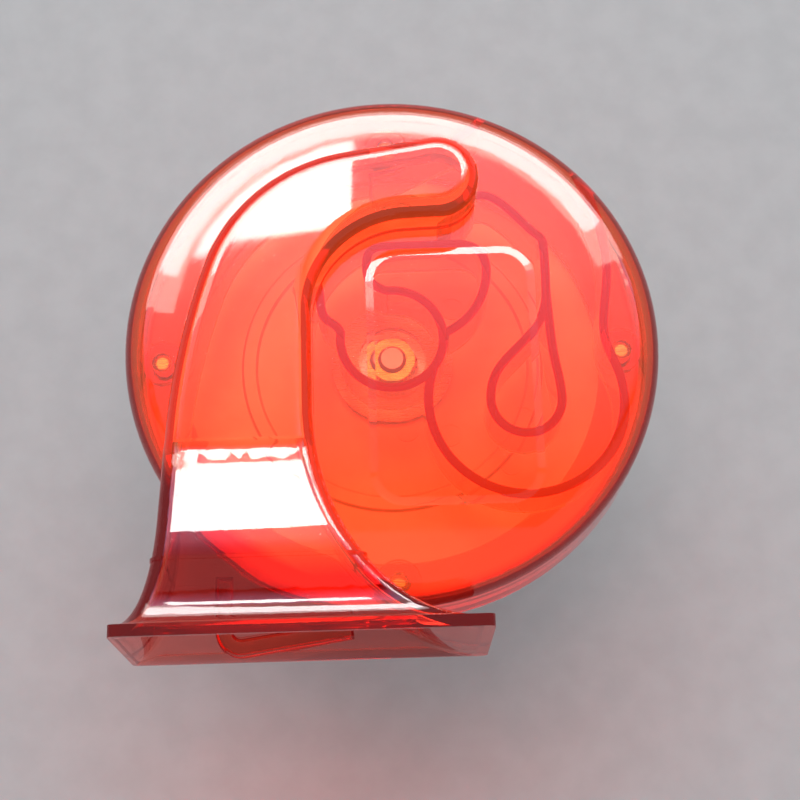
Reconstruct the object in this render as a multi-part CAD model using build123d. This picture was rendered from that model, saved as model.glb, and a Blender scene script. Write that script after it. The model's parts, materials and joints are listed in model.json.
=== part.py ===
from build123d import *
import os
from functools import cache
from math import cos, radians, sin, sqrt

# Electric wind-tone ("snail") horn, in millimetres.
# The origin is the middle of the bracket's fixing hole, on the face that seats
# on the vehicle. +Z runs along the horn's axis and out of the front cover, the
# trumpet's mouth faces -Y, and +X is to the right seen from the front.
# The pieces are drawn about the horn's axis, from the back of its pot, and
# main() moves them to the origin.

# Pressed steel pot, from the back: a deep cup for the coil, a shallow bowl
# for the contacts, and a flange for the diaphragm. Its flange follows the
# housing, the bowl follows the flange, and the cup follows the bowl.
pot_sheet = 1.5
pot_bend = 1.0
pot_height = 30.0
cup_depth = 14.5
flange_inset = 0.5
flange_width = 10.0
step_width = 15.0

# Diaphragm and its two gaskets.
gasket_thickness = 0.5
diaphragm_thickness = 0.4
diaphragm_bead_radius = 26.0
diaphragm_bead_width = 3.0
diaphragm_bead_height = 0.5
diaphragm_rim_gap = 0.5

# Moulded trumpet housing.
housing_radius = 47.0
housing_height = 17.0
seam_height = 9.0
housing_wall = 2.0
cover_edge_radius = 5.0
base_edge_radius = 0.8
roof_thickness = 2.2
floor_thickness = 2.0
floor_recess = 2.0
recess_rim_gap = 1.0
throat_radius = 6.1
spiral_wall = 1.6
rib_rim_gap = 0.2

# Raised trumpet channel on the cover, from its round start to the neck.
trumpet_rise = 7.0
trumpet_edge_radius = 3.2
start_x = 8.6
start_y = 28.1
start_radius = 7.6
outer_heading = 189.0
outer_run = 15.3
outer_bend_radius = 31.3
outer_bend_angle = 62.0
outer_neck_radius = 121.3
outer_neck_angle = 16.0
inner_heading = 182.0
inner_run = 6.0
inner_bend_radius = 17.3
inner_neck_start_y = -13.5
neck_cut_y = -19.7
neck_lean = 0.055

# Bell mouth.
mouth_y = -53.2
mouth_left = -46.5
mouth_right = 15.0
mouth_rise = 11.5
mouth_drop = 0.8
lip_thickness = 2.0
lip_corner_radius = 1.2
left_flare_start_y = -34.0
front_flare_start_y = -46.0
back_flare_start_y = -39.0
ramp_start_y = -20.5
ramp_end_y = -38.6
ramp_slope = 0.125
ramp_bend = 4.0
bead_y = -40.2
bead_width = 0.6
bead_rise = 0.2
bell_corner_radius = 2.8
flare_cutoff = 0.998

# V-shaped foot rib under the bell.
foot_rib_width = 3.0
foot_rib_height = 3.2
foot_rib_left = (-30.4, -38.6)
foot_rib_apex = (-30.6, -51.4)
foot_rib_right = (-8.2, -48.2)
foot_rib_bend = 3.0

# Spiral walls: the ring round the throat, the bowl-shaped turn and the drop-shaped island
# share their centres with the path that the sound follows between them.
throat_wall_radius = 9.0
turn_x = 22.9
turn_y = -11.7
turn_radius = 16.9
island_radius = 6.15
open_start_x = -2.6
open_start_y = 25.2

# Screw bosses and flange screws.
screw_count = 4
screw_head_gap = 1.4
boss_radius = 4.0
boss_rise = 2.0
screw_radius = 1.8
screw_hole_gap = 0.05
sheet_hole_gap = 0.4
screw_head_radius = 3.4
screw_head_height = 2.4
screw_tip_inset = 0.8
screw_slot_width = 1.0
screw_slot_depth = 1.1

# Blank raised panel and moulding marks.
panel_left = -4.4
panel_right = 25.4
panel_bottom = -30.5
panel_top = 16.3
panel_corner_radius = 6.0
panel_rise = 0.3
panel_taper = 78.0
mark_radius = 2.0
mark_rise = 0.3
mark_places = [(1.4, 13.7), (11.1, 9.2), (2.3, -13.7), (9.9, -14.8), (23.0, -12.0), (20.6, -20.4)]

# Magnet: pole core with its stud, bobbin, winding and yoke plate.
stud_radius = 4.0
stud_hole_gap = 0.1
stud_tail = 11.0
core_top = 7.0
bobbin_bore_gap = 0.2
bobbin_wall = 0.9
bobbin_flange = 1.2
bobbin_cup_gap = 0.7
winding_gap = 0.05
winding_inset = 0.8
winding_depth = 8.5
yoke_overlap = 3.5
yoke_thickness = 1.5
yoke_bore_gap = 0.6

# Armature, its washers and nut.
armature_gap = 0.6
air_gap = 0.8
collar_radius = 11.5
collar_thickness = 1.5
stem_radius = 2.5
stem_tail = 0.7
stem_hole_gap = 0.1
spreader_radius = 11.0
spreader_thickness = 1.0
face_gap = 0.02
nut_width = 8.0
nut_height = 3.2

# Contact breaker on the bowl's step, along +X.
deck_thickness = 1.0
deck_width = 10.0
deck_height = 4.6
deck_rim_gap = 1.6
deck_foot_length = 3.4
deck_top_length = 8.4
deck_bend = 0.8
stack_riser_gap = 2.6
stack_length = 5.6
insulator_thickness = 0.8
insulator_width = 9.6
moving_arm_thickness = 0.35
fixed_arm_thickness = 0.8
arm_pad_width = 9.0
arm_tongue_width = 5.0
moving_arm_reach = 2.5
fixed_arm_reach = 2.4
tip_radius = 1.8
collar_play = 0.1
stack_rivet_spacing = 5.0
deck_rivet_inset = 1.3
deck_rivet_spacing = 5.6
rivet_radius = 0.9
rivet_head_radius = 1.6
deck_rivet_head_radius = 1.1
rivet_head_height = 0.8
rivet_gap = 0.05
bush_wall = 0.45
adjuster_riser_gap = 2.1
adjuster_radius = 1.45
adjuster_head_radius = 3.0
adjuster_head_height = 2.2
adjuster_neck = 1.5

# Terminal block on the back of the step, turned away from the breaker.
terminal_angle = 52.0
terminal_rim_inset = 0.7
terminal_block_depth = 10.4
terminal_block_width = 26.0
terminal_block_height = 8.0
terminal_block_corner = 1.5
terminal_boss_radius = 2.1
terminal_boss_gap = 0.1
blade_width = 6.3
blade_thickness = 0.8
blade_inset = 1.0
blade_length = 19.1
blade_spacing = 13.0
blade_tip_chamfer = 1.4
blade_hole_radius = 0.8
blade_hole_inset = 4.0
terminal_rivet_inset = 3.8
terminal_rivet_radius = 1.5
terminal_rivet_head_radius = 2.5
terminal_rivet_head_height = 1.0
terminal_insulator_thickness = 0.8
terminal_insulator_depth = 5.6
terminal_insulator_width = 19.0

# Bracket, its nut and washer.
bracket_thickness = 2.5
bracket_width = 20.0
bracket_hole_y = 50.0
bracket_hole_radius = 4.25
bracket_tail = 10.0
bracket_joggle_start = 26.0
bracket_joggle_end = 35.5
bracket_joggle_drop = 9.0
bracket_bend_radius = 2.0
washer_radius = 7.4
washer_thickness = 1.8
washer_slit = 0.8
washer_slit_angle = 200.0
stud_nut_width = 13.0
stud_nut_height = 5.5

# Cutters and welded-on pieces run past the face they meet by the first length.
# The second one is longer than any piece.
overshoot = 1.0
cutter_reach = 100.0

# Radii and places in plan that follow from the sizes above.
flange_radius = housing_radius - flange_inset
bowl_radius = flange_radius - flange_width
cup_radius = bowl_radius - step_width
recess_radius = bowl_radius + recess_rim_gap
screw_circle_radius = bowl_radius + screw_head_radius + screw_head_gap
bobbin_radius = cup_radius - pot_sheet - bobbin_cup_gap
winding_radius = bobbin_radius - winding_inset
bobbin_bore = winding_radius - winding_depth - winding_gap - bobbin_wall
core_radius = bobbin_bore - bobbin_bore_gap
armature_radius = bobbin_bore - armature_gap
yoke_radius = cup_radius + yoke_overlap
deck_outer_x = bowl_radius - pot_sheet - deck_rim_gap
deck_rivet_x = deck_outer_x - deck_rivet_inset
deck_riser_x = deck_outer_x - deck_foot_length
deck_inner_x = deck_riser_x - deck_top_length
adjuster_x = deck_riser_x - adjuster_riser_gap
stack_outer_x = deck_riser_x - stack_riser_gap
stack_inner_x = stack_outer_x - stack_length
stack_rivet_x = (stack_inner_x + stack_outer_x) / 2
tip_x = (collar_radius + stack_inner_x) / 2
moving_arm_inner_x = collar_radius - moving_arm_reach
fixed_arm_inner_x = tip_x - fixed_arm_reach
terminal_block_outer_x = bowl_radius - terminal_rim_inset
terminal_block_inner_x = terminal_block_outer_x - terminal_block_depth
terminal_rivet_x = terminal_block_inner_x + terminal_rivet_inset
blade_inner_x = terminal_block_inner_x + blade_inset
blade_outer_x = blade_inner_x + blade_length

# Levels along the axis that follow from the sizes above.
flange_back_z = pot_height - pot_sheet
step_z = cup_depth
step_floor_z = step_z + pot_sheet
diaphragm_z = pot_height + gasket_thickness
front_gasket_z = diaphragm_z + diaphragm_thickness
base_z = front_gasket_z + gasket_thickness
floor_under_z = base_z + floor_recess
floor_z = floor_under_z + floor_thickness
seam_z = base_z + seam_height
face_z = base_z + housing_height
roof_z = face_z - roof_thickness
trumpet_z = face_z + trumpet_rise
yoke_z = step_floor_z
deck_top_z = step_floor_z + deck_height
moving_arm_z = deck_top_z + insulator_thickness
moving_arm_top_z = moving_arm_z + moving_arm_thickness
fixed_arm_z = moving_arm_top_z + insulator_thickness
fixed_arm_top_z = fixed_arm_z + fixed_arm_thickness
stack_top_z = fixed_arm_top_z + insulator_thickness
collar_z = moving_arm_top_z + collar_play
spreader_z = diaphragm_z - face_gap - spreader_thickness
top_spreader_z = front_gasket_z + face_gap
nut_z = top_spreader_z + spreader_thickness
seat_z = -bracket_joggle_drop - bracket_thickness
terminal_block_z = step_z - terminal_block_height
terminal_rivet_top_z = step_floor_z + terminal_insulator_thickness + terminal_rivet_head_height


def point_at(heading, distance):
    """Vector of a length along a heading in degrees, counted from +X."""
    return Vector(cos(radians(heading)) * distance, sin(radians(heading)) * distance)


def disc(radius, bottom, top, x=0.0, y=0.0):
    """Upright cylinder between two levels."""
    return Pos(x, y, bottom) * extrude(Circle(radius), top - bottom)


def ring(outer, inner, bottom, top, x=0.0, y=0.0):
    """Upright tube between two levels."""
    return Pos(x, y, bottom) * extrude(Circle(outer) - Circle(inner), top - bottom)


def slab(left, right, front, back, bottom, top):
    """Plain block between six planes."""
    block = Box(right - left, back - front, top - bottom)
    return Pos((left + right) / 2, (front + back) / 2, (bottom + top) / 2) * block


def hexagon(width, bottom, top):
    """Hexagonal prism of a width across flats."""
    flats = RegularPolygon(width / 2, 6, major_radius=False)
    return Pos(0, 0, bottom) * extrude(flats, top - bottom)


def screw_places(radius):
    """Centres of the flange screws, at the quarter points of a circle."""
    return [point_at(360 * i / screw_count, radius) for i in range(screw_count)]


def holes(radius, bottom, top):
    """Cutters for one hole at each flange screw."""
    return [disc(radius, bottom, top, p.X, p.Y) for p in screw_places(screw_circle_radius)]


# ---------------------------------------------------------------- trumpet

def channel_face(inset):
    """Outline of the raised channel, drawn in by a wall thickness."""
    cap_radius = start_radius - inset
    centre = Vector(start_x, start_y)
    cap_top = centre + point_at(outer_heading - 90, cap_radius)
    cap_bottom = centre + point_at(inner_heading + 90, cap_radius)
    with BuildSketch() as sketch:
        with BuildLine():
            ThreePointArc(cap_bottom, centre + Vector(cap_radius, 0), cap_top)
            outer_line = Line(cap_top, cap_top + point_at(outer_heading, outer_run))
            outer_bend = JernArc(outer_line @ 1, outer_line % 1, outer_bend_radius - inset, outer_bend_angle)
            outer_neck = JernArc(outer_bend @ 1, outer_bend % 1, outer_neck_radius - inset, outer_neck_angle)
            inner_line = Line(cap_bottom, cap_bottom + point_at(inner_heading, inner_run))
            inner_bend_angle = 270 - inner_heading
            inner_bend = JernArc(inner_line @ 1, inner_line % 1, inner_bend_radius + inset, inner_bend_angle)
            inner_foot = Vector((inner_bend @ 1).X, inner_neck_start_y)
            Line(inner_bend @ 1, inner_foot)
            flare_radius = right_flare_radius() + inset
            flare = JernArc(inner_foot, (0, -1), flare_radius, 10)
            tail_y = min((flare @ 1).Y, (outer_neck @ 1).Y) - 1
            Polyline(flare @ 1, ((flare @ 1).X, tail_y), ((outer_neck @ 1).X, tail_y), outer_neck @ 1)
        make_face()
    below = Pos(0, neck_cut_y - cutter_reach) * Rectangle(2 * cutter_reach, 2 * cutter_reach)
    return sketch.sketch - below


def inner_edge_x():
    """Where the channel's inner wall runs straight towards the mouth."""
    bottom = Vector(start_x, start_y) + point_at(inner_heading + 90, start_radius)
    line_end = bottom + point_at(inner_heading, inner_run)
    centre = line_end + point_at(inner_heading + 90, inner_bend_radius)
    return centre.X - inner_bend_radius


def right_flare_reach():
    """Half axes of the quarter ellipse that the right side flares along."""
    return mouth_right - inner_edge_x(), inner_neck_start_y - (mouth_y + lip_thickness)


def right_flare_radius():
    """Radius of that ellipse where it leaves the straight wall."""
    across, along = right_flare_reach()
    return along * along / across


@cache
def raised_channel():
    """Outside of the channel, rounded along its long edges up to the neck."""
    channel = Pos(0, 0, floor_under_z) * extrude(channel_face(0), trumpet_z - floor_under_z)
    for level in (-1, 0):
        edges = channel.edges().group_by(Axis.Z)[level]
        edges = edges.filter_by(lambda edge: edge.center().Y > neck_cut_y + 0.01)
        channel = fillet(edges, trumpet_edge_radius)
    return channel


@cache
def neck_edges(inset):
    """Left and right ends of the channel where it is cut at the neck."""
    box = channel_face(inset).edges().sort_by(Axis.Y)[0].bounding_box()
    return box.min.X, box.max.X


def flare(y, start_y, across, along):
    """Quarter-ellipse flare: nothing at its start, and all of it at its end."""
    if y >= start_y:
        return 0.0
    share = min((start_y - y) / along, flare_cutoff)
    return across * (1 - sqrt(1 - share * share))


def ramp(y):
    """Rise of the bell's front along its straight slope, which starts with a bend."""
    along = ramp_start_y - max(y, ramp_end_y)
    if along <= 0:
        return 0.0
    if along < ramp_bend:
        return ramp_slope * along * along / (2 * ramp_bend)
    return ramp_slope * (along - ramp_bend / 2)


def bell_section(y, inset):
    """Rounded rectangle of the bell at one station, drawn in by the wall."""
    grow = inset * 1.075
    lip_y = mouth_y + lip_thickness
    neck_left, neck_right = neck_edges(inset)
    across, along = right_flare_reach()
    right = inner_edge_x() - inset
    right += flare(y, inner_neck_start_y, across + inset, along + grow)
    if y >= neck_cut_y:
        right = neck_right
    lean = neck_lean * (neck_cut_y - y)
    left_reach = outer_edge_reach()
    left = neck_left - lean
    left -= flare(y, left_flare_start_y, left_reach + inset, left_flare_start_y - lip_y + grow)
    front_reach = mouth_rise - trumpet_rise - ramp(lip_y)
    front = trumpet_z - inset + ramp(y)
    front += flare(y, front_flare_start_y, front_reach + inset, front_flare_start_y - lip_y + grow)
    back_reach = floor_recess + mouth_drop
    back = floor_under_z + inset
    back -= flare(y, back_flare_start_y, back_reach + inset, back_flare_start_y - lip_y + grow)
    plane = Plane(origin=((left + right) / 2, y, (front + back) / 2), x_dir=(1, 0, 0), z_dir=(0, -1, 0))
    corner = max(bell_corner_radius - inset / 2, 0.6)
    return plane * RectangleRounded(right - left, front - back, corner)


def outer_edge_reach():
    """How far the mouth's left end stands out from the neck."""
    lean = neck_lean * (neck_cut_y - (mouth_y + lip_thickness))
    return neck_edges(0)[0] - lean - mouth_left


@cache
def bell(inset):
    """Bell from the neck to the lip, lofted through its stations."""
    end_y = mouth_y if inset else mouth_y + lip_thickness
    length = neck_cut_y - end_y
    shares = [0.0, 0.12, 0.27, 0.43, 0.57, 0.64, 0.76, 0.85, 0.92, 0.96, 0.985, 1.0]
    sections = [bell_section(neck_cut_y - length * s, inset) for s in shares]
    if not inset:
        sections[0] = raised_channel().faces().sort_by(Axis.Y)[0]
    return loft(sections)


def bead():
    """Fine raised line round the bell."""
    return extrude(bell_section(bead_y, -bead_rise), bead_width / 2, both=True)


def lip():
    """Flat rim round the mouth, square to the way the sound leaves."""
    width = mouth_right - mouth_left
    top = face_z + mouth_rise
    bottom = base_z - mouth_drop
    plane = Plane(
        origin=((mouth_left + mouth_right) / 2, mouth_y, (top + bottom) / 2),
        x_dir=(1, 0, 0),
        z_dir=(0, -1, 0),
    )
    face = plane * RectangleRounded(width, top - bottom, lip_corner_radius)
    return extrude(face, -lip_thickness)


@cache
def trumpet_outside():
    """Whole outer form of the moulded housing, before it is parted."""
    drum = disc(housing_radius, base_z, face_z)
    drum = fillet(drum.edges().group_by(Axis.Z)[-1], cover_edge_radius)
    drum = fillet(drum.edges().group_by(Axis.Z)[0], base_edge_radius)
    return drum + raised_channel() + bell(0) + lip() + bead()


def housing_cavity(gap=0.0):
    """Round hollow between the floor and the roof, drawn in by a gap at the rim."""
    hollow = disc(housing_radius - housing_wall - gap, floor_z, roof_z)
    return fillet(hollow.edges().group_by(Axis.Z)[-1], cover_edge_radius - housing_wall - gap)


def channel_cavity():
    """Hollow of the raised channel."""
    hollow = Pos(0, 0, floor_z) * extrude(channel_face(housing_wall), trumpet_z - housing_wall - floor_z)
    return hollow


def wall_band(path):
    """Wall of even width along a centre line, with round ends."""
    band = trace(path, line_width=spiral_wall)
    for end in (path @ 0, path @ 1):
        band += Pos(end.X, end.Y) * Circle(spiral_wall / 2)
    return band


def island_paths():
    """Outline of the drop-shaped island between the two long runs."""
    right = Vector(turn_x + island_radius, turn_y)
    left = Vector(turn_x - island_radius, turn_y)
    tip = Vector(27.4, 8.0)
    return [
        ThreePointArc(right, (turn_x, turn_y - island_radius), left),
        Spline(left, (20.2, -3.9), tip, tangents=[(0, 1), (0.05, 1)]),
        Spline(tip, (28.2, -4.5), right, tangents=[(0.05, -1), (0, -1)]),
    ]


def hook_paths():
    """Outline of the hook-shaped island above the throat, apart from the throat's own wall."""
    left = point_at(94, throat_wall_radius)
    right = point_at(4, throat_wall_radius)
    crown = Vector(11.6, 17.6)
    shoulder = Vector(-0.6, 17.5)
    return [
        Spline(right, (13.6, 3.8), (16.9, 10.6), crown, tangents=[(0.8, 0.35), (-1, 0)]),
        Line(crown, shoulder),
        Spline(shoulder, (-4.1, 13.9), left, tangents=[(-1, 0), (1, -0.35)]),
    ]


def long_paths():
    """Centre lines of the walls that lead the sound from the throat to the channel."""
    turn = Vector(turn_x, turn_y)
    ring_left = point_at(172, throat_wall_radius)
    turn_left = turn + point_at(160, turn_radius)
    turn_right = turn + point_at(4, turn_radius)
    channel_side = Vector(inner_edge_x() + 1, 10.5)
    return [
        ThreePointArc(point_at(94, throat_wall_radius), point_at(-40, throat_wall_radius), ring_left),
        Spline(ring_left, (-11.4, 4.0), channel_side, tangents=[(-0.2, 1), (-0.35, 1)]),
        ThreePointArc(turn_left, turn + point_at(270, turn_radius), turn_right),
        Spline(
            turn_right, (37.3, -1.5), (38.4, 12.0), (37.2, 21.5), (33.0, 31.5),
            tangents=[(-0.07, 1), (-0.5, 1)],
        ),
        Spline((9.4, 22.9), (17.6, 26.8), (25.6, 19.6), (27.4, 8.0), tangents=[(1, 0.7), (-0.02, -1)]),
        Spline((17.0, 41.9), (9.0, 36.6), (-2.6, 31.9), tangents=[(-0.6, -1), (-1, -0.16)]),
    ]


def spiral_plan():
    """Plan of every wall between the floor and the roof."""
    plan = channel_face(0) - channel_face(housing_wall)
    opening = Rectangle(2 * cutter_reach, 2 * cutter_reach)
    plan -= Pos(open_start_x + cutter_reach, open_start_y + cutter_reach) * opening
    for path in long_paths() + island_paths() + hook_paths():
        plan += wall_band(path)
    return plan


def spiral_walls():
    """Walls of the sound path, moulded on the roof and welded to the rim above the seam only."""
    walls = Pos(0, 0, floor_z) * extrude(spiral_plan(), roof_z - floor_z)
    for place in screw_places(screw_circle_radius):
        top = floor_z + boss_rise + rib_rim_gap
        walls -= disc(boss_radius + rib_rim_gap, floor_z - overshoot, top, place.X, place.Y)
    for x, y in mark_places:
        walls -= disc(mark_radius + rib_rim_gap, floor_z - overshoot, floor_z + 2 * mark_rise, x, y)
    upper = slab(-cutter_reach, cutter_reach, -cutter_reach, cutter_reach, seam_z, roof_z)
    high = walls & housing_cavity(-housing_wall / 2) & upper
    return high + (walls & housing_cavity(rib_rim_gap))


def neck_walls():
    """Sides of the neck where it crosses the round housing."""
    low = bell(0) & disc(housing_radius - housing_wall / 2, floor_z, seam_z)
    high = bell(0) & housing_cavity(rib_rim_gap)
    return low + high - bell(housing_wall)


def foot_rib():
    """V-shaped rib that stiffens the back of the bell."""
    path = FilletPolyline(foot_rib_left, foot_rib_apex, foot_rib_right, radius=foot_rib_bend)
    plan = trace(path, line_width=foot_rib_width)
    rib = Pos(0, 0, floor_under_z - foot_rib_height) * extrude(plan, foot_rib_height + housing_wall / 2)
    return fillet(rib.edges().group_by(Axis.Z)[0], foot_rib_width / 2 - 0.2)


def make_cover():
    """Front moulding: round cover, raised channel, spiral walls and front half of the bell."""
    far = cutter_reach
    outside = trumpet_outside() - slab(-far, far, -far, far, base_z - far, seam_z)
    cover = outside - housing_cavity() - channel_cavity() - bell(housing_wall)
    outline = RectangleRounded(panel_right - panel_left, panel_top - panel_bottom, panel_corner_radius)
    panel_x = (panel_left + panel_right) / 2
    panel_y = (panel_bottom + panel_top) / 2
    foot = Pos(panel_x, panel_y, roof_z + roof_thickness / 2) * extrude(outline, roof_thickness / 2)
    pad = Pos(panel_x, panel_y, face_z) * extrude(outline, panel_rise, taper=panel_taper)
    return cover + foot + pad + spiral_walls()


def make_base():
    """Back moulding: floor, throat, neck, bosses and back half of the bell."""
    far = cutter_reach
    outside = trumpet_outside() - slab(-far, far, -far, far, seam_z, trumpet_z + far)
    base = outside - housing_cavity() - bell(housing_wall)
    base -= disc(recess_radius, base_z - overshoot, floor_under_z)
    base += neck_walls() + foot_rib()
    for place in screw_places(screw_circle_radius):
        base += disc(boss_radius, base_z + overshoot, floor_z + boss_rise, place.X, place.Y)
    for x, y in mark_places:
        base += disc(mark_radius, floor_z - 0.5, floor_z + mark_rise, x, y)
    base -= disc(throat_radius, base_z - overshoot, floor_z + overshoot)
    for cutter in holes(screw_radius + screw_hole_gap, base_z - overshoot, floor_z + boss_rise + overshoot):
        base -= cutter
    return base


# ------------------------------------------------- diaphragm and gaskets

def make_gasket(bottom):
    """Flat ring between the flange and what is clamped on it."""
    outer = flange_radius - diaphragm_rim_gap
    top = bottom + gasket_thickness
    gasket = ring(outer, recess_radius, bottom, top)
    for cutter in holes(screw_radius + sheet_hole_gap, bottom - overshoot, top + overshoot):
        gasket -= cutter
    return gasket


def make_diaphragm():
    """Thin spring-steel disc with one ring-shaped bead."""
    bottom = diaphragm_z
    top = bottom + diaphragm_thickness
    outer = diaphragm_bead_radius + diaphragm_bead_width / 2
    inner = diaphragm_bead_radius - diaphragm_bead_width / 2
    bead = ring(outer, inner, bottom, top + diaphragm_bead_height)
    bead = chamfer(bead.edges().group_by(Axis.Z)[-1], diaphragm_bead_height * 0.9)
    groove_outer = outer - diaphragm_thickness
    groove_inner = inner + diaphragm_thickness
    groove = ring(groove_outer, groove_inner, bottom - overshoot, bottom + diaphragm_bead_height)
    sheet = disc(flange_radius - diaphragm_rim_gap, bottom, top) + bead - groove
    sheet -= disc(stem_radius + stem_hole_gap, bottom - overshoot, top + overshoot)
    for cutter in holes(screw_radius + sheet_hole_gap, bottom - overshoot, top + overshoot):
        sheet -= cutter
    return sheet


# -------------------------------------------------------------------- pot

def pot_profile():
    """Half section of the pressed steel pot, with its bend radii."""
    inner_bend = pot_bend
    outer_bend = pot_bend + pot_sheet
    cup_inner = cup_radius - pot_sheet
    bowl_inner = bowl_radius - pot_sheet
    corners = [
        (0, 0, 0),
        (cup_radius, 0, outer_bend),
        (cup_radius, step_z, inner_bend),
        (bowl_radius, step_z, outer_bend),
        (bowl_radius, flange_back_z, inner_bend),
        (flange_radius, flange_back_z, 0),
        (flange_radius, pot_height, 0),
        (bowl_inner, pot_height, outer_bend),
        (bowl_inner, step_floor_z, inner_bend),
        (cup_inner, step_floor_z, outer_bend),
        (cup_inner, pot_sheet, inner_bend),
        (0, pot_sheet, 0),
    ]
    face = make_face(Polyline(*[(r, z) for r, z, _ in corners], close=True))
    for r, z, bend in corners:
        if bend:
            corner = face.vertices().sort_by_distance((r, z))[0]
            face = fillet(corner, bend)
    return face


def make_pot():
    """Pressed steel pot with every hole that is punched in it."""
    pot = revolve(Plane.XZ * pot_profile(), Axis.Z)
    pot -= disc(stud_radius + stud_hole_gap, -overshoot, pot_sheet + overshoot)
    pot -= disc(adjuster_radius + rivet_gap, step_z - overshoot, step_floor_z + overshoot, adjuster_x)
    for y in pair(deck_rivet_spacing):
        pot -= disc(rivet_radius + rivet_gap, step_z - overshoot, step_floor_z + overshoot, deck_rivet_x, y)
    boss_hole = terminal_boss_radius + terminal_boss_gap
    for y in pair(blade_spacing):
        hole = disc(boss_hole, step_z - overshoot, step_floor_z + overshoot, terminal_rivet_x, y)
        pot -= at_terminals(hole)
    for cutter in holes(screw_radius + sheet_hole_gap, flange_back_z - overshoot, pot_height + overshoot):
        pot -= cutter
    return pot


def pair(spacing):
    """The two offsets of a pair that is spaced evenly about a centre line."""
    return (-spacing / 2, spacing / 2)


def make_flange_screws():
    """Four pan-head screws, driven from the flange into the bosses."""
    tip_z = floor_z + boss_rise - screw_tip_inset
    head = disc(screw_head_radius, flange_back_z - screw_head_height, flange_back_z)
    head = fillet(head.edges().group_by(Axis.Z)[0], 0.9)
    shank = disc(screw_radius, flange_back_z - 0.5, tip_z)
    shank = chamfer(shank.edges().group_by(Axis.Z)[-1], 0.7)
    slot_top = flange_back_z - screw_head_height + screw_slot_depth
    half = screw_head_radius * 0.62
    wide = screw_slot_width / 2
    slot = slab(-half, half, -wide, wide, flange_back_z - screw_head_height - overshoot, slot_top)
    screw = head + shank - slot - Rot(0, 0, 90) * slot
    return Compound([Pos(p.X, p.Y, 0) * screw for p in screw_places(screw_circle_radius)])


# ----------------------------------------------------------------- magnet

def make_pole_core():
    """Turned steel core with the threaded stud that carries the bracket."""
    core = disc(core_radius, pot_sheet, core_top)
    core = chamfer(core.edges().group_by(Axis.Z)[-1], 0.4)
    stud = disc(stud_radius, -stud_tail, pot_sheet)
    stud = chamfer(stud.edges().group_by(Axis.Z)[0], 0.8)
    return core + stud


def make_coil_bobbin():
    """Moulded bobbin: a tube between two flanges."""
    top = step_floor_z - winding_inset / 2
    bottom = pot_sheet + winding_gap
    bobbin = ring(bobbin_bore + bobbin_wall, bobbin_bore, bottom, top)
    bobbin += ring(bobbin_radius, bobbin_bore, bottom, bottom + bobbin_flange)
    bobbin += ring(bobbin_radius, bobbin_bore, top - bobbin_flange, top)
    return bobbin


def make_coil_winding():
    """Copper winding as the solid ring that its turns fill."""
    bottom = pot_sheet + bobbin_flange + 2 * winding_gap
    top = step_floor_z - winding_inset / 2 - bobbin_flange - winding_gap
    inner = bobbin_bore + bobbin_wall + winding_gap
    return ring(winding_radius, inner, bottom, top)


def make_yoke_plate():
    """Steel plate that closes the magnetic path over the coil."""
    bore = armature_radius + yoke_bore_gap
    plate = ring(yoke_radius, bore, yoke_z, yoke_z + yoke_thickness)
    return chamfer(plate.edges().group_by(Axis.Z)[-1].sort_by(SortBy.RADIUS)[0], 0.4)


# --------------------------------------------------------------- armature

def make_armature():
    """Turned armature: body in the coil, collar for the breaker, and stem."""
    body = disc(armature_radius, core_top + air_gap, spreader_z)
    body = chamfer(body.edges().group_by(Axis.Z)[0], 0.4)
    collar = disc(collar_radius, collar_z, collar_z + collar_thickness)
    stem = disc(stem_radius, spreader_z - overshoot, nut_z + nut_height + stem_tail)
    stem = chamfer(stem.edges().group_by(Axis.Z)[-1], 0.5)
    return body + collar + stem


def make_spreader(bottom):
    """Washer that spreads the clamping of the diaphragm's centre."""
    washer = ring(spreader_radius, stem_radius + stem_hole_gap, bottom, bottom + spreader_thickness)
    return washer


def make_armature_nut():
    """Hexagon nut on the stem, seen through the throat."""
    nut = hexagon(nut_width, nut_z, nut_z + nut_height)
    corner = nut_width / sqrt(3)
    dome = disc(corner, nut_z - overshoot, nut_z + nut_height)
    dome = chamfer(dome.edges().group_by(Axis.Z)[-1], 0.5)
    return (nut & dome) - disc(stem_radius + rivet_gap, nut_z - overshoot, nut_z + nut_height + overshoot)


# -------------------------------------------------------- contact breaker

def stack_holes(solid, radius):
    """Punch the two rivet holes of the breaker stack."""
    for y in pair(stack_rivet_spacing):
        solid -= disc(radius, step_floor_z, stack_top_z + overshoot, stack_rivet_x, y)
    return solid


def make_breaker_deck():
    """Folded steel strip that carries the stack over the adjusting screw."""
    middle = deck_thickness / 2
    foot_z = step_floor_z + middle
    top_z = deck_top_z - middle
    path = FilletPolyline(
        (deck_outer_x, foot_z), (deck_riser_x, foot_z), (deck_riser_x, top_z), (deck_inner_x, top_z),
        radius=deck_bend,
    )
    strip = Plane.XZ * trace(path, line_width=deck_thickness)
    deck = extrude(strip, deck_width / 2, both=True)
    for y in pair(deck_rivet_spacing):
        deck -= disc(rivet_radius + rivet_gap, step_floor_z - overshoot, foot_z + overshoot, deck_rivet_x, y)
    return stack_holes(deck, rivet_radius + rivet_gap)


def make_deck_rivets():
    """Two rivets that hold the deck's foot on the step."""
    rivets = []
    foot_top = step_floor_z + deck_thickness
    half_head = rivet_head_height / 2
    for y in pair(deck_rivet_spacing):
        shank = disc(rivet_radius, step_z - half_head, foot_top + half_head, deck_rivet_x, y)
        low = disc(deck_rivet_head_radius, step_z - rivet_head_height, step_z, deck_rivet_x, y)
        high = disc(deck_rivet_head_radius, foot_top, foot_top + rivet_head_height, deck_rivet_x, y)
        rivets.append(shank + low + high)
    return Compound(rivets)


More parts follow.
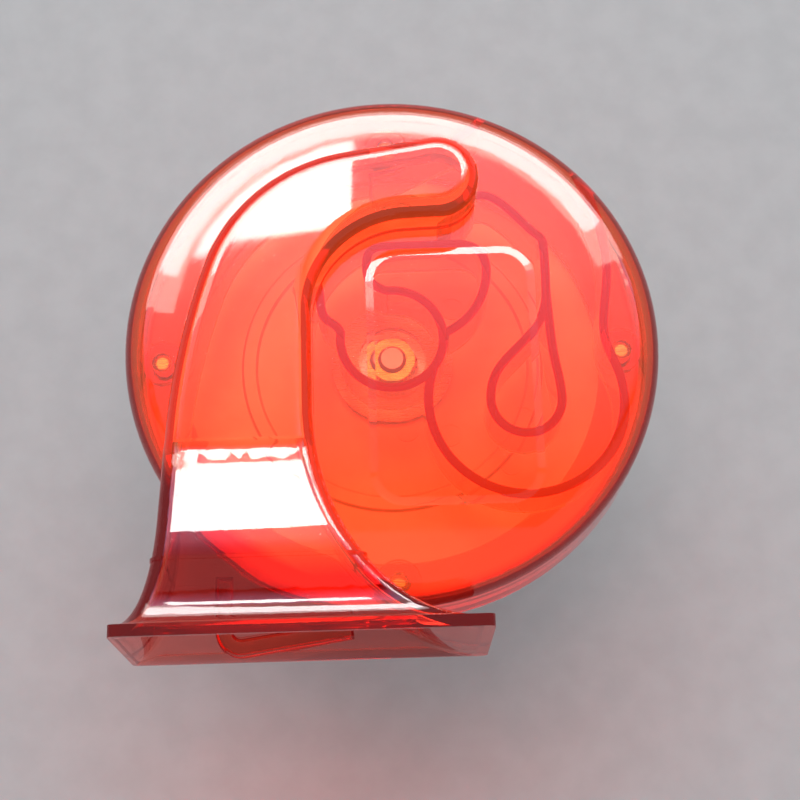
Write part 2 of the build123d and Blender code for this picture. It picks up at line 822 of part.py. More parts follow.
def make_insulator(bottom):
    """One insulating pad of the stack."""
    half = insulator_width / 2
    pad = slab(stack_inner_x, stack_outer_x, -half, half, bottom, bottom + insulator_thickness)
    return stack_holes(pad, rivet_radius + bush_wall + 2 * rivet_gap)


def make_arm(inner_x, bottom, thickness):
    """Contact arm: a pad in the stack and a tongue towards the armature."""
    pad_half = arm_pad_width / 2
    tongue_half = arm_tongue_width / 2
    top = bottom + thickness
    pad = slab(stack_inner_x, stack_outer_x, -pad_half, pad_half, bottom, top)
    tongue = slab(inner_x, stack_outer_x, -tongue_half, tongue_half, bottom, top)
    tongue = fillet(tongue.edges().filter_by(Axis.Z).group_by(Axis.X)[0], tongue_half * 0.5)
    return stack_holes(pad + tongue, rivet_radius + bush_wall + 2 * rivet_gap)


def make_stack_bushes():
    """Insulating sleeves that keep the rivets off the arms."""
    inner = rivet_radius + rivet_gap
    outer = inner + bush_wall
    return Compound([
        ring(outer, inner, deck_top_z, stack_top_z, stack_rivet_x, y) for y in pair(stack_rivet_spacing)
    ])


def make_stack_rivets():
    """Two rivets through the breaker stack."""
    rivets = []
    under = deck_top_z - deck_thickness
    for y in pair(stack_rivet_spacing):
        shank = disc(rivet_radius, under - 0.1, stack_top_z + 0.1, stack_rivet_x, y)
        low = disc(rivet_head_radius, under - rivet_head_height, under, stack_rivet_x, y)
        high = disc(rivet_head_radius, stack_top_z, stack_top_z + rivet_head_height, stack_rivet_x, y)
        rivets.append(shank + low + high)
    return Compound(rivets)


def make_moving_tip():
    """Contact tip on the moving arm."""
    return disc(tip_radius, moving_arm_top_z, moving_arm_top_z + insulator_thickness / 2, tip_x)


def make_fixed_tip():
    """Contact tip under the fixed arm."""
    return disc(tip_radius, fixed_arm_z - insulator_thickness / 2, fixed_arm_z, tip_x)


def make_adjusting_screw():
    """Slotted screw whose tip sets the height of the deck."""
    top = deck_top_z - deck_thickness
    head_top = step_z - adjuster_neck
    head_bottom = head_top - adjuster_head_height
    shank = disc(adjuster_radius, head_top - 0.5, top, adjuster_x)
    head = disc(adjuster_head_radius, head_bottom, head_top, adjuster_x)
    head = chamfer(head.edges().group_by(Axis.Z)[0], 0.4)
    wide = screw_slot_width / 2
    left = adjuster_x - adjuster_head_radius - overshoot
    right = adjuster_x + adjuster_head_radius + overshoot
    slot = slab(left, right, -wide, wide, head_bottom - overshoot, head_bottom + screw_slot_depth)
    return shank + head - slot


# -------------------------------------------------------------- terminals

def at_terminals(solid):
    """Turn a piece from +X to the terminals' place round the axis."""
    return Rot(0, 0, terminal_angle) * solid


def make_terminal_block():
    """Moulded block that carries the two blades on the back of the step."""
    half = terminal_block_width / 2
    block = slab(
        terminal_block_inner_x, terminal_block_outer_x, -half, half, terminal_block_z, step_z
    )
    block = fillet(block.edges().filter_by(Axis.Z), terminal_block_corner)
    for y in pair(blade_spacing):
        block += disc(terminal_boss_radius, step_z - overshoot, step_floor_z, terminal_rivet_x, y)
    low = terminal_block_z - overshoot
    high = step_floor_z + overshoot
    for y in pair(blade_spacing):
        block -= disc(terminal_rivet_radius + rivet_gap, low, high, terminal_rivet_x, y)
    return at_terminals(block)


def make_blade(y):
    """Flat tab terminal with its rivet hole and locking hole."""
    half = blade_width / 2
    top = terminal_block_z
    blade = slab(blade_inner_x, blade_outer_x, y - half, y + half, top - blade_thickness, top)
    blade = chamfer(blade.edges().filter_by(Axis.Z).group_by(Axis.X)[-1], blade_tip_chamfer)
    low = top - blade_thickness - overshoot
    blade -= disc(terminal_rivet_radius + rivet_gap, low, top + overshoot, terminal_rivet_x, y)
    blade -= disc(blade_hole_radius, low, top + overshoot, blade_outer_x - blade_hole_inset, y)
    return at_terminals(blade)


def make_terminal_insulator():
    """Insulating plate under the terminal rivets inside the pot."""
    half = terminal_insulator_width / 2
    deep = terminal_insulator_depth / 2
    plate = slab(
        terminal_rivet_x - deep, terminal_rivet_x + deep, -half, half,
        step_floor_z, step_floor_z + terminal_insulator_thickness,
    )
    for y in pair(blade_spacing):
        plate -= disc(terminal_rivet_radius + rivet_gap, step_z, terminal_rivet_top_z, terminal_rivet_x, y)
    return at_terminals(plate)


def make_terminal_rivets():
    """Two rivets that join the blades, the block and the inner plate."""
    rivets = []
    bottom = terminal_block_z - blade_thickness
    top = step_floor_z + terminal_insulator_thickness
    half_head = terminal_rivet_head_height / 2
    for y in pair(blade_spacing):
        shank = disc(terminal_rivet_radius, bottom - half_head, top + half_head, terminal_rivet_x, y)
        low = disc(terminal_rivet_head_radius, bottom - 2 * half_head, bottom, terminal_rivet_x, y)
        high = disc(terminal_rivet_head_radius, top, terminal_rivet_top_z, terminal_rivet_x, y)
        rivets.append(at_terminals(shank + low + high))
    return Compound(rivets)


# ---------------------------------------------------------------- bracket

def make_bracket():
    """Steel strip with round ends and a joggle, clamped on the stud."""
    middle = bracket_thickness / 2
    low = -bracket_joggle_drop - middle
    path = FilletPolyline(
        (-cutter_reach, -middle),
        (bracket_joggle_start, -middle),
        (bracket_joggle_end, low),
        (bracket_hole_y + cutter_reach, low),
        radius=bracket_bend_radius,
    )
    side = Plane.YZ * trace(path, line_width=bracket_thickness)
    strip = extrude(side, bracket_width / 2, both=True)
    plan = Rectangle(bracket_width, bracket_hole_y) + Pos(0, -bracket_hole_y / 2) * Circle(bracket_tail)
    plan += Pos(0, bracket_hole_y / 2) * Circle(bracket_tail)
    plan = Pos(0, bracket_hole_y / 2, -cutter_reach) * extrude(plan, 2 * cutter_reach)
    bracket = strip & plan
    bracket -= disc(stud_radius + stud_hole_gap, seat_z - overshoot, overshoot)
    return bracket - disc(bracket_hole_radius, seat_z - overshoot, overshoot, 0, bracket_hole_y)


def make_lock_washer():
    """Split spring washer under the stud's nut."""
    top = -bracket_thickness
    washer = ring(washer_radius, stud_radius + stud_hole_gap, top - washer_thickness, top)
    half = washer_slit / 2
    low = top - washer_thickness - overshoot
    slit = slab(0, washer_radius + overshoot, -half, half, low, top + overshoot)
    return washer - Rot(0, 0, washer_slit_angle) * slit


def make_stud_nut():
    """Hexagon nut that clamps the bracket on the stud."""
    top = -bracket_thickness - washer_thickness
    nut = hexagon(stud_nut_width, top - stud_nut_height, top)
    rim = disc(stud_nut_width / sqrt(3), top - stud_nut_height, top)
    rim = chamfer(rim.edges().group_by(Axis.Z)[0], 0.7)
    rim = chamfer(rim.edges().group_by(Axis.Z)[-1], 0.7)
    return (nut & rim) - disc(stud_radius + rivet_gap, top - stud_nut_height - overshoot, top + overshoot)


PARTS = {
    "trumpet_cover": make_cover,
    "trumpet_base": make_base,
    "front_gasket": lambda: make_gasket(front_gasket_z),
    "diaphragm": make_diaphragm,
    "rear_gasket": lambda: make_gasket(pot_height),
    "pot": make_pot,
    "flange_screws": make_flange_screws,
    "pole_core": make_pole_core,
    "coil_bobbin": make_coil_bobbin,
    "coil_winding": make_coil_winding,
    "yoke_plate": make_yoke_plate,
    "armature": make_armature,
    "lower_spreader": lambda: make_spreader(spreader_z),
    "upper_spreader": lambda: make_spreader(top_spreader_z),
    "armature_nut": make_armature_nut,
    "breaker_deck": make_breaker_deck,
    "deck_rivets": make_deck_rivets,
    "lower_insulator": lambda: make_insulator(deck_top_z),
    "moving_contact_arm": lambda: make_arm(moving_arm_inner_x, moving_arm_z, moving_arm_thickness),
    "middle_insulator": lambda: make_insulator(moving_arm_top_z),
    "fixed_contact_arm": lambda: make_arm(fixed_arm_inner_x, fixed_arm_z, fixed_arm_thickness),
    "top_insulator": lambda: make_insulator(fixed_arm_top_z),
    "stack_bushes": make_stack_bushes,
    "stack_rivets": make_stack_rivets,
    "moving_contact_tip": make_moving_tip,
    "fixed_contact_tip": make_fixed_tip,
    "adjusting_screw": make_adjusting_screw,
    "terminal_block": make_terminal_block,
    "terminal_blade_left": lambda: make_blade(pair(blade_spacing)[1]),
    "terminal_blade_right": lambda: make_blade(pair(blade_spacing)[0]),
    "terminal_insulator": make_terminal_insulator,
    "terminal_rivets": make_terminal_rivets,
    "bracket": make_bracket,
    "lock_washer": make_lock_washer,
    "stud_nut": make_stud_nut,
}


def main():
    """Build every piece, move it to the origin and write one STEP file for each."""
    os.makedirs("parts", exist_ok=True)
    for name, make in PARTS.items():
        shape = Pos(0, -bracket_hole_y, -seat_z) * make()
        shape.label = name
        export_step(shape, f"parts/{name}.step")


main()
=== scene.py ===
import json
import math

import bpy
import numpy as np
from mathutils import Matrix, Vector


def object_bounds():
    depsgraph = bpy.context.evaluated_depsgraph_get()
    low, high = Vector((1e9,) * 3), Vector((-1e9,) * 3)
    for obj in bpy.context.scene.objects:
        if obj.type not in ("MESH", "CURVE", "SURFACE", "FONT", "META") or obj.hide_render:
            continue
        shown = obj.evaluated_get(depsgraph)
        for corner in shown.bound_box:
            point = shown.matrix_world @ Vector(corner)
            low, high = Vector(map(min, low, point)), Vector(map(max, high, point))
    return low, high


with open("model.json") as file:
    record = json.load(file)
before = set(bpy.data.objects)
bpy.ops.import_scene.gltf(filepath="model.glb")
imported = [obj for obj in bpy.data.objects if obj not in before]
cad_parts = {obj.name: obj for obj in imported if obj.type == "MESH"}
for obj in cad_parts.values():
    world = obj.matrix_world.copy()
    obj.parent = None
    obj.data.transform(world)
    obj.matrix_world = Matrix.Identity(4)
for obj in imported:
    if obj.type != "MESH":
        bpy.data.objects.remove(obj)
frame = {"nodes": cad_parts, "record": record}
cad_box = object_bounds()

# Places and sizes on the horn, in mm.
MM = 0.001
HORN_AXIS_Y = -50.0
COVER_FACE_Z = 59.9
COVER_FLAT_RADIUS = 42.0
COVER_EDGE_RADIUS = 5.0
# Where the darker painted shade on the clear plastic starts and is whole: outward on the cover's rim, and
# towards the mouth on the bell above the face.
RIM_SHADE_START, RIM_SHADE_WHOLE = 44.0, 46.0
FLARE_SHADE_START_Y, FLARE_SHADE_WHOLE_Y = -89.0, -94.0
FLARE_SHADE_START_Z, FLARE_SHADE_WHOLE_Z = 60.5, 62.5
GASKET_GAP = 0.02

# Studio.
FLOOR_HALF_WIDTH = 2.0
FLOOR_DROP = 0.0002
AIM = (0.0, HORN_AXIS_Y * MM, 0.05)
CAMERA_TILT, CAMERA_ROLL = 18.0, 1.75
CAMERA_LENS, CAMERA_SENSOR = 75.0, 36.0
CAMERA_OFFSETS = (1.42, -11.144, 289.59)
WORLD_COLOUR = (0.9, 0.92, 0.95, 1.0)
WORLD_STRENGTH = 0.45
WHITE = (1.0, 1.0, 1.0, 1.0)
HAZE_COLOUR = (0.75, 0.62, 1.0, 1.0)
WINDOW_CORNERS = [(-10.8, 23.8), (-1.5, 24.8), (-1.2, 29.8), (-10.6, 29.8)]
HAZE_CORNERS = [(-34, 11), (34, 11), (34, 33), (-34, 33)]


# ---------------------------------------------------------------- node helpers

class Shader:
    """A material's node tree, with short ways to add and join nodes."""

    def __init__(self, name):
        self.material = bpy.data.materials.new(name)
        self.material.use_nodes = True
        self.tree = self.material.node_tree
        self.tree.nodes.clear()
        self.output = self.node("ShaderNodeOutputMaterial")

    def node(self, kind, **settings):
        made = self.tree.nodes.new(kind)
        for key, value in settings.items():
            setattr(made, key, value)
        return made

    def link(self, source, target):
        self.tree.links.new(source, target)

    def group(self, tree, **values):
        made = self.node("ShaderNodeGroup", node_tree=tree)
        for key, value in values.items():
            made.inputs[key.replace("_", " ").title()].default_value = value
        return made

    def principled(self, **values):
        made = self.node("ShaderNodeBsdfPrincipled")
        for key, value in values.items():
            made.inputs[key.replace("_", " ").title().replace("Ior", "IOR")].default_value = value
        return made

    def coordinates(self):
        return self.node("ShaderNodeTexCoord").outputs["Object"]

    def bump(self, height, strength, distance):
        made = self.node("ShaderNodeBump")
        made.inputs["Strength"].default_value = strength
        made.inputs["Distance"].default_value = distance
        self.link(height, made.inputs["Height"])
        return made.outputs["Normal"]


def new_group(name, inputs, outputs):
    """Empty node group with its named sockets, and its inner input and output nodes."""
    tree = bpy.data.node_groups.new(name, "ShaderNodeTree")
    for socket, kind, value in inputs:
        made = tree.interface.new_socket(name=socket, in_out="INPUT", socket_type=kind)
        if value is not None:
            made.default_value = value
    for socket, kind in outputs:
        tree.interface.new_socket(name=socket, in_out="OUTPUT", socket_type=kind)
    return tree, tree.nodes.new("NodeGroupInput"), tree.nodes.new("NodeGroupOutput")


def noise_in(tree, vector, scale_socket=None, scale=100.0, detail=3.0, stretch=None):
    """Noise texture inside a group, on a vector that may first be stretched."""
    if stretch:
        mapping = tree.nodes.new("ShaderNodeMapping")
        mapping.inputs["Scale"].default_value = stretch
        tree.links.new(vector, mapping.inputs["Vector"])
        vector = mapping.outputs["Vector"]
    made = tree.nodes.new("ShaderNodeTexNoise")
    made.inputs["Scale"].default_value = scale
    made.inputs["Detail"].default_value = detail
    tree.links.new(vector, made.inputs["Vector"])
    if scale_socket:
        tree.links.new(scale_socket, made.inputs["Scale"])
    return made.outputs["Fac"]


def ranged_in(tree, value, low, high, to_low, to_high):
    """Map Range node inside a group. Each limit is a number or a socket."""
    made = tree.nodes.new("ShaderNodeMapRange")
    limits = {"From Min": low, "From Max": high, "To Min": to_low, "To Max": to_high}
    for name, limit in limits.items():
        if isinstance(limit, (int, float)):
            made.inputs[name].default_value = limit
        else:
            tree.links.new(limit, made.inputs[name])
    tree.links.new(value, made.inputs["Value"])
    return made.outputs["Result"]


def make_handling_group():
    """Smudges that lift the roughness in soft patches, and dust specks."""
    tree, inside, outside = new_group(
        "handling_marks",
        [("Vector", "NodeSocketVector", None), ("Scale", "NodeSocketFloat", 60.0),
         ("Low Roughness", "NodeSocketFloat", 0.05), ("High Roughness", "NodeSocketFloat", 0.12)],
        [("Roughness", "NodeSocketFloat"), ("Specks", "NodeSocketFloat")],
    )
    smudge = noise_in(tree, inside.outputs["Vector"], scale_socket=inside.outputs["Scale"], detail=4.0)
    rough = ranged_in(
        tree, smudge, 0.42, 0.68, inside.outputs["Low Roughness"], inside.outputs["High Roughness"]
    )
    tree.links.new(rough, outside.inputs["Roughness"])
    specks = noise_in(tree, inside.outputs["Vector"], scale=2600.0, detail=1.0)
    tree.links.new(ranged_in(tree, specks, 0.72, 0.78, 0.0, 1.0), outside.inputs["Specks"])
    return tree


def make_grain_group():
    """Fine grain of a surface: an even noise for bumps and a slow one for its tone."""
    tree, inside, outside = new_group(
        "surface_grain",
        [("Vector", "NodeSocketVector", None), ("Scale", "NodeSocketFloat", 1500.0),
         ("Dark Color", "NodeSocketColor", None), ("Light Color", "NodeSocketColor", None)],
        [("Height", "NodeSocketFloat"), ("Color", "NodeSocketColor")],
    )
    fine = noise_in(tree, inside.outputs["Vector"], scale_socket=inside.outputs["Scale"], detail=2.0)
    tree.links.new(fine, outside.inputs["Height"])
    slow = noise_in(tree, inside.outputs["Vector"], scale=140.0, detail=4.0)
    mix = tree.nodes.new("ShaderNodeMix")
    mix.data_type = "RGBA"
    tree.links.new(ranged_in(tree, slow, 0.35, 0.65, 0.0, 1.0), mix.inputs["Factor"])
    tree.links.new(inside.outputs["Dark Color"], mix.inputs[6])
    tree.links.new(inside.outputs["Light Color"], mix.inputs[7])
    tree.links.new(mix.outputs[2], outside.inputs["Color"])
    return tree


def make_rolling_group():
    """Fine parallel lines of rolled or turned metal, along one direction."""
    tree, inside, outside = new_group(
        "rolling_lines",
        [("Vector", "NodeSocketVector", None), ("Low Roughness", "NodeSocketFloat", 0.25),
         ("High Roughness", "NodeSocketFloat", 0.4)],
        [("Height", "NodeSocketFloat"), ("Roughness", "NodeSocketFloat")],
    )
    lines = noise_in(tree, inside.outputs["Vector"], scale=300.0, detail=3.0, stretch=(1.0, 12.0, 12.0))
    tree.links.new(lines, outside.inputs["Height"])
    rough = ranged_in(
        tree, lines, 0.35, 0.65, inside.outputs["Low Roughness"], inside.outputs["High Roughness"]
    )
    tree.links.new(rough, outside.inputs["Roughness"])
    return tree


def make_shade_parting_group():
    """Two colours parted by place: the housing's own colour, and a darker one as painted shade on the
    cover's rim and on the bell that stands out of it.
    """
    tree, inside, outside = new_group(
        "housing_to_painted_shade",
        [("Vector", "NodeSocketVector", None), ("Housing Color", "NodeSocketColor", None),
         ("Bell Color", "NodeSocketColor", None)],
        [("Color", "NodeSocketColor")],
    )
    centred = tree.nodes.new("ShaderNodeMapping")
    centred.inputs["Location"].default_value = (0.0, -HORN_AXIS_Y * MM, 0.0)
    centred.inputs["Scale"].default_value = (1.0, 1.0, 0.0)
    tree.links.new(inside.outputs["Vector"], centred.inputs["Vector"])
    reach = tree.nodes.new("ShaderNodeVectorMath")
    reach.operation = "LENGTH"
    tree.links.new(centred.outputs["Vector"], reach.inputs[0])
    outside_rim = ranged_in(
        tree, reach.outputs["Value"], RIM_SHADE_START * MM, RIM_SHADE_WHOLE * MM, 0.0, 1.0
    )
    parts = tree.nodes.new("ShaderNodeSeparateXYZ")
    tree.links.new(inside.outputs["Vector"], parts.inputs["Vector"])
    near_mouth = ranged_in(
        tree, parts.outputs["Y"], FLARE_SHADE_START_Y * MM, FLARE_SHADE_WHOLE_Y * MM, 0.0, 1.0
    )
    above_face = ranged_in(
        tree, parts.outputs["Z"], FLARE_SHADE_START_Z * MM, FLARE_SHADE_WHOLE_Z * MM, 0.0, 1.0
    )
    flare = tree.nodes.new("ShaderNodeMath")
    flare.operation = "MULTIPLY"
    tree.links.new(near_mouth, flare.inputs[0])
    tree.links.new(above_face, flare.inputs[1])
    either = tree.nodes.new("ShaderNodeMath")
    either.operation = "MAXIMUM"
    tree.links.new(outside_rim, either.inputs[0])
    tree.links.new(flare.outputs[0], either.inputs[1])
    # Mix to the darker colour, a painted shade, on the rim and near the mouth.
    mix = tree.nodes.new("ShaderNodeMix")
    mix.data_type = "RGBA"
    tree.links.new(either.outputs[0], mix.inputs["Factor"])
    tree.links.new(inside.outputs["Housing Color"], mix.inputs[6])
    tree.links.new(inside.outputs["Bell Color"], mix.inputs[7])
    tree.links.new(mix.outputs[2], outside.inputs["Color"])
    return tree


HANDLING = make_handling_group()
GRAIN = make_grain_group()
ROLLING = make_rolling_group()
SHADE_PARTING = make_shade_parting_group()


# ---------------------------------------------------------------- materials

def clear_plastic(name, tint_and_painted_shade, painted_glows, absorbed):
    """Clear moulded plastic: dyed through its depth, and clear to the lamps' light.

    The base colours are the plastic's own in the housing and a darker painted shade on the cover's rim and
    the bell. The emission colours are a painted glow, one in the housing and one in the bell, as if the
    plastic shone. absorbed is the share of red, green and blue light lost per metre, as the exponent of
    decay.
    """
    shader = Shader(name)
    # Weak emission: a painted glow, as if the plastic shone of itself.
    body = shader.principled(transmission_weight=1.0, ior=1.5, emission_strength=0.07)
    place = shader.coordinates()
    # Base colour and emission colour are each parted by place: the darker base colour on the rim and bell
    # is painted shade, and the emission colours are a painted glow.
    for colours, socket in ((tint_and_painted_shade, "Base Color"), (painted_glows, "Emission Color")):
        parted = shader.group(SHADE_PARTING, housing_color=colours[0], bell_color=colours[1])
        shader.link(place, parted.inputs["Vector"])
        shader.link(parted.outputs["Color"], body.inputs[socket])
    marks = shader.group(HANDLING, low_roughness=0.02, high_roughness=0.05)
    shader.link(place, marks.inputs["Vector"])
    shader.link(marks.outputs["Roughness"], body.inputs["Roughness"])
    shader.link(shader.bump(marks.outputs["Specks"], 0.15, 0.00002), body.inputs["Normal"])
    through = shader.node("ShaderNodeBsdfTransparent")
    dye = shader.node("ShaderNodeVolumeAbsorption")
    density = max(absorbed)
    dye.inputs["Color"].default_value = [1.0 - share / density for share in absorbed] + [1.0]
    dye.inputs["Density"].default_value = density
    shader.link(dye.outputs[0], shader.output.inputs["Volume"])
    paths = shader.node("ShaderNodeLightPath")
    mix = shader.node("ShaderNodeMixShader")
    shader.link(paths.outputs["Is Shadow Ray"], mix.inputs[0])
    shader.link(body.outputs[0], mix.inputs[1])
    shader.link(through.outputs[0], mix.inputs[2])
    shader.link(mix.outputs[0], shader.output.inputs["Surface"])
    return shader.material


def metal(name, dark, light, low_roughness, high_roughness):
    """Plated or bare metal with rolling lines and a slow change of tone."""
    shader = Shader(name)
    body = shader.principled(metallic=1.0)
    grain = shader.group(GRAIN, scale=900.0, dark_color=dark, light_color=light)
    lines = shader.group(ROLLING, low_roughness=low_roughness, high_roughness=high_roughness)
    place = shader.coordinates()
    shader.link(place, grain.inputs["Vector"])
    shader.link(place, lines.inputs["Vector"])
    shader.link(grain.outputs["Color"], body.inputs["Base Color"])
    shader.link(lines.outputs["Roughness"], body.inputs["Roughness"])
    shader.link(shader.bump(lines.outputs["Height"], 0.12, 0.00002), body.inputs["Normal"])
    shader.link(body.outputs[0], shader.output.inputs["Surface"])
    return shader.material


def moulded(name, dark, light, roughness, bump):
    """Opaque plastic, rubber or board with a fine grain."""
    shader = Shader(name)
    body = shader.principled(roughness=roughness)
    grain = shader.group(GRAIN, scale=1800.0, dark_color=dark, light_color=light)
    shader.link(shader.coordinates(), grain.inputs["Vector"])
    shader.link(grain.outputs["Color"], body.inputs["Base Color"])
    shader.link(shader.bump(grain.outputs["Height"], bump, 0.00005), body.inputs["Normal"])
    shader.link(body.outputs[0], shader.output.inputs["Surface"])
    return shader.material


RED_PLASTIC = clear_plastic(
    "red_clear_plastic",
    # Housing base colour is the plastic's own; the darker second colour is painted shade on the rim and
    # bell.
    tint_and_painted_shade=((1.0, 0.92, 0.92, 1), (0.74, 0.36, 0.39, 1)),
    # Both emission colours are a painted glow of the plastic.
    painted_glows=((1.0, 0.30, 0.08, 1), (0.35, 0.0, 0.01, 1)),
    absorbed=(15.0, 310.0, 450.0),
)
FINISHES = {
    "red_translucent_plastic": RED_PLASTIC,
    "gasket_fibre": moulded("gasket_fibre", (0.84, 0.82, 0.77, 1), (0.92, 0.90, 0.86, 1), 0.75, 0.3),
    "spring_steel": metal("spring_steel", (0.56, 0.57, 0.58, 1), (0.64, 0.65, 0.66, 1), 0.46, 0.54),
    "pot_steel": metal("zinc_plated_pot", (0.60, 0.62, 0.65, 1), (0.74, 0.76, 0.79, 1), 0.25, 0.4),
    "bare_steel": metal("bare_steel", (0.42, 0.42, 0.44, 1), (0.55, 0.55, 0.57, 1), 0.3, 0.45),
    "bright_zinc_steel": metal("bright_zinc", (0.62, 0.64, 0.68, 1), (0.76, 0.78, 0.82, 1), 0.22, 0.36),
    "yellow_zinc_steel": metal("yellow_zinc", (0.88, 0.62, 0.16, 1), (0.98, 0.80, 0.32, 1), 0.2, 0.32),
    "bobbin_nylon": moulded("ivory_nylon", (0.76, 0.71, 0.58, 1), (0.86, 0.82, 0.70, 1), 0.45, 0.15),
    "enamelled_copper": metal("enamelled_copper", (0.60, 0.22, 0.08, 1), (0.78, 0.36, 0.16, 1), 0.2, 0.32),
    "phenolic_board": moulded("brown_board", (0.22, 0.10, 0.04, 1), (0.36, 0.18, 0.09, 1), 0.5, 0.25),
    "spring_bronze": metal("spring_bronze", (0.64, 0.40, 0.20, 1), (0.78, 0.52, 0.28, 1), 0.22, 0.34),
    "brass_sheet": metal("brass_sheet", (0.74, 0.55, 0.24, 1), (0.86, 0.68, 0.34, 1), 0.2, 0.34),
    "contact_metal": metal("contact_metal", (0.34, 0.34, 0.36, 1), (0.46, 0.46, 0.48, 1), 0.25, 0.4),
    "black_nylon": moulded("black_nylon", (0.018, 0.018, 0.02, 1), (0.04, 0.04, 0.042, 1), 0.42, 0.2),
}

for part in frame["record"]["subparts"]:
    node = frame["nodes"][part["node"]]
    finish = FINISHES[part["material_slot"]]
    if not node.data.materials:
        node.data.materials.append(finish)
    for place in range(len(node.material_slots)):
        node.material_slots[place].material = finish


def draw_in(name, distance):
    """Draw a piece in by a hair's breadth from the clear plastic that it touches."""
    node = frame["nodes"][name]
    shrink = node.modifiers.new("hair_gap", "DISPLACE")
    shrink.strength = -distance
    shrink.mid_level = 0.0


draw_in("front_gasket", GASKET_GAP * MM)


# ---------------------------------------------------------------- studio

def make_floor():
    """Pale floor under the lowest point, seen only from above: a flat grid of x and y."""
    along = np.linspace(-FLOOR_HALF_WIDTH, FLOOR_HALF_WIDTH, 3)
    x, y = np.meshgrid(along, along)
    points = np.stack([x.ravel(), y.ravel(), np.full(x.size, cad_box[0][2] - FLOOR_DROP)], axis=1)
    corner = np.array([0, 1, 3, 4])
    faces = np.stack([corner, corner + 1, corner + 4, corner + 3], axis=1)
    mesh = bpy.data.meshes.new("studio_floor")
    mesh.from_pydata(points.tolist(), [], faces.tolist())
    floor = bpy.data.objects.new("studio_floor", mesh)
    bpy.context.scene.collection.objects.link(floor)
    shader = Shader("pale_studio_floor")
    paper = shader.principled(roughness=0.9, specular_ior_level=0.0)
    grain = shader.group(
        GRAIN, scale=500.0, dark_color=(0.68, 0.68, 0.69, 1), light_color=(0.72, 0.72, 0.73, 1)
    )
    shader.link(shader.coordinates(), grain.inputs["Vector"])
    shader.link(grain.outputs["Color"], paper.inputs["Base Color"])
    see_through = shader.node("ShaderNodeBsdfTransparent")
    side = shader.node("ShaderNodeNewGeometry")
    mix = shader.node("ShaderNodeMixShader")
    shader.link(side.outputs["Backfacing"], mix.inputs[0])
    shader.link(paper.outputs[0], mix.inputs[1])
    shader.link(see_through.outputs[0], mix.inputs[2])
    shader.link(mix.outputs[0], shader.output.inputs["Surface"])
    mesh.materials.append(shader.material)


def direction(side_degrees, tilt_degrees):
    """Unit vector that far from straight up: to the right, and towards +Y."""
    side, tilt = math.radians(side_degrees), math.radians(tilt_degrees)
    return (math.sin(side), math.cos(side) * math.sin(tilt), math.cos(side) * math.cos(tilt))


def add_softbox(name, side_degrees, tilt_degrees, distance, width, height, power):
    """Rectangular lamp that faces the horn from a direction."""
    lamp = bpy.data.lights.new(name, "AREA")
    lamp.shape = "RECTANGLE"
    lamp.size = width
    lamp.size_y = height
    lamp.energy = power
    holder = bpy.data.objects.new(name, lamp)
    bpy.context.scene.collection.objects.link(holder)
    away = Vector(direction(side_degrees, tilt_degrees))
    holder.location = Vector(AIM) + away * distance
    holder.rotation_euler = away.to_track_quat("Z", "Y").to_euler()


def make_world():
    """Even grey surroundings."""
    world = bpy.data.worlds.new("studio_world")
    world.use_nodes = True
    world.node_tree.nodes["Background"].inputs["Color"].default_value = WORLD_COLOUR
    world.node_tree.nodes["Background"].inputs["Strength"].default_value = WORLD_STRENGTH
    bpy.context.scene.world = world


def make_camera():
    """Camera off the horn's axis, towards the mouth, with a slight roll.

    Its place is the middle of the cover's face plus the three offsets, to the right, up and back.
    """
    roll, tilt = math.radians(CAMERA_ROLL), math.radians(CAMERA_TILT)
    right = Vector((math.cos(roll), -math.sin(roll), 0.0))
    up = Vector((math.cos(tilt) * math.sin(roll), math.cos(tilt) * math.cos(roll), math.sin(tilt)))
    back = right.cross(up)
    axes = Matrix((right, up, back)).transposed()
    place = Vector((0.0, HORN_AXIS_Y, COVER_FACE_Z)) + axes @ Vector(CAMERA_OFFSETS)
    camera = bpy.data.cameras.new("camera")
    camera.lens = CAMERA_LENS
    camera.sensor_width = CAMERA_SENSOR
    holder = bpy.data.objects.new("camera", camera)
    holder.matrix_world = Matrix.Translation(place * MM) @ axes.to_4x4()
    bpy.context.scene.collection.objects.link(holder)
    bpy.context.scene.camera = holder


def add_reflection_card(name, corners, distance, colour, strength, fade=None):
    """Flat card towards the horn: four corners in turn, each as degrees to the side and of tilt."""
    points = AIM + distance * np.array([direction(side, tilt) for side, tilt in corners])
    add_card(name, points, np.array([(0, 1, 2, 3)]), colour, strength, fade)


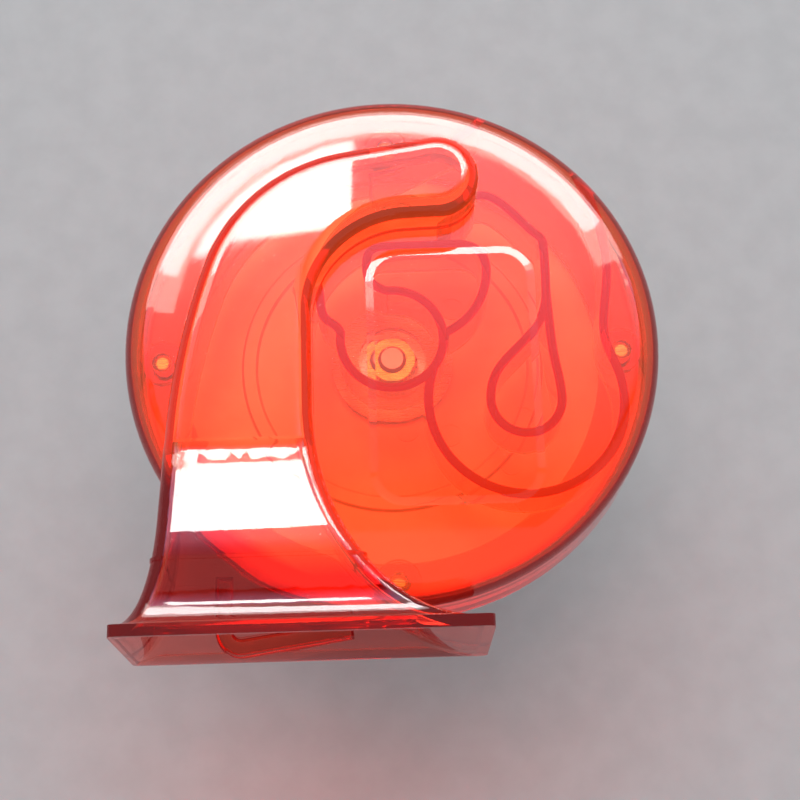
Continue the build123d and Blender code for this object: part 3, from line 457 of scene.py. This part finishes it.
def add_card(name, points, faces, colour, strength, fade=None):
    """Shining card that only glossy rays see, for the long highlights on the gloss.

    fade is the Y, in metres, where its light starts and where it is whole.
    """
    mesh = bpy.data.meshes.new(name)
    mesh.from_pydata(points.tolist(), [], faces.tolist())
    card = bpy.data.objects.new(name, mesh)
    bpy.context.scene.collection.objects.link(card)
    shader = Shader(name)
    light = shader.node("ShaderNodeEmission")
    light.inputs["Color"].default_value = colour
    light.inputs["Strength"].default_value = strength
    if fade:
        parts = shader.node("ShaderNodeSeparateXYZ")
        shader.link(shader.coordinates(), parts.inputs["Vector"])
        level = ranged_in(shader.tree, parts.outputs["Y"], *fade, 0.0, strength)
        shader.link(level, light.inputs["Strength"])
    shader.link(light.outputs[0], shader.output.inputs["Surface"])
    mesh.materials.append(shader.material)
    for ray in ("camera", "diffuse", "transmission", "volume_scatter", "shadow"):
        setattr(card, "visible_" + ray, False)


def add_rim_card(name, azimuths, inner_radius, slope, distance, strength):
    """White card above the cover's rounded edge, mirrored from the camera by that edge.

    For an azimuth a from +Y, the cover's face runs flat from the inner radius to the flat radius
    R and then bends down with the edge radius E: its point at slope s is (R sin a, R cos a) about
    the axis, E below the face, plus E times the normal (sin s sin a, sin s cos a, cos s). The
    card's point is that one plus the distance along the mirrored line of sight.
    """
    slopes = np.radians([0.0, 0.0, slope])
    a, s = np.meshgrid(np.radians(np.linspace(*azimuths, 13)), slopes)
    radius = np.array([[inner_radius], [COVER_FLAT_RADIUS], [COVER_FLAT_RADIUS]])
    normal = np.stack([np.sin(s) * np.sin(a), np.sin(s) * np.cos(a), np.cos(s)], axis=-1)
    below_face = np.full(a.shape, COVER_FACE_Z - COVER_EDGE_RADIUS)
    centre = np.stack([radius * np.sin(a), HORN_AXIS_Y + radius * np.cos(a), below_face], axis=-1)
    edge = (centre + COVER_EDGE_RADIUS * normal) * MM
    sight = edge - np.array(bpy.context.scene.camera.matrix_world.translation)
    sight /= np.linalg.norm(sight, axis=-1, keepdims=True)
    mirrored = sight - 2.0 * (sight * normal).sum(axis=-1, keepdims=True) * normal
    points = (edge + distance * mirrored).reshape(-1, 3)
    index = np.arange(a.size).reshape(a.shape)
    faces = np.stack([index[:-1, :-1], index[:-1, 1:], index[1:, 1:], index[1:, :-1]], axis=-1)
    add_card(name, points, faces.reshape(-1, 4), WHITE, strength)


make_floor()
make_world()
make_camera()
add_softbox("key_softbox", 0, 45, 1.3, 1.6, 1.1, 8.0)
add_reflection_card("window_card", WINDOW_CORNERS, 0.69, WHITE, 26.0)
add_reflection_card("haze_card", HAZE_CORNERS, 1.0, HAZE_COLOUR, 4.5, fade=(0.13, 0.42))
add_rim_card("rim_card", (-72, 62), 39.4, 10.0, 0.2, 20.0)
add_rim_card("soft_rim_card", (-82, 72), 38.4, 16.0, 0.21, 7.0)

bpy.context.scene.view_settings.view_transform = "Standard"
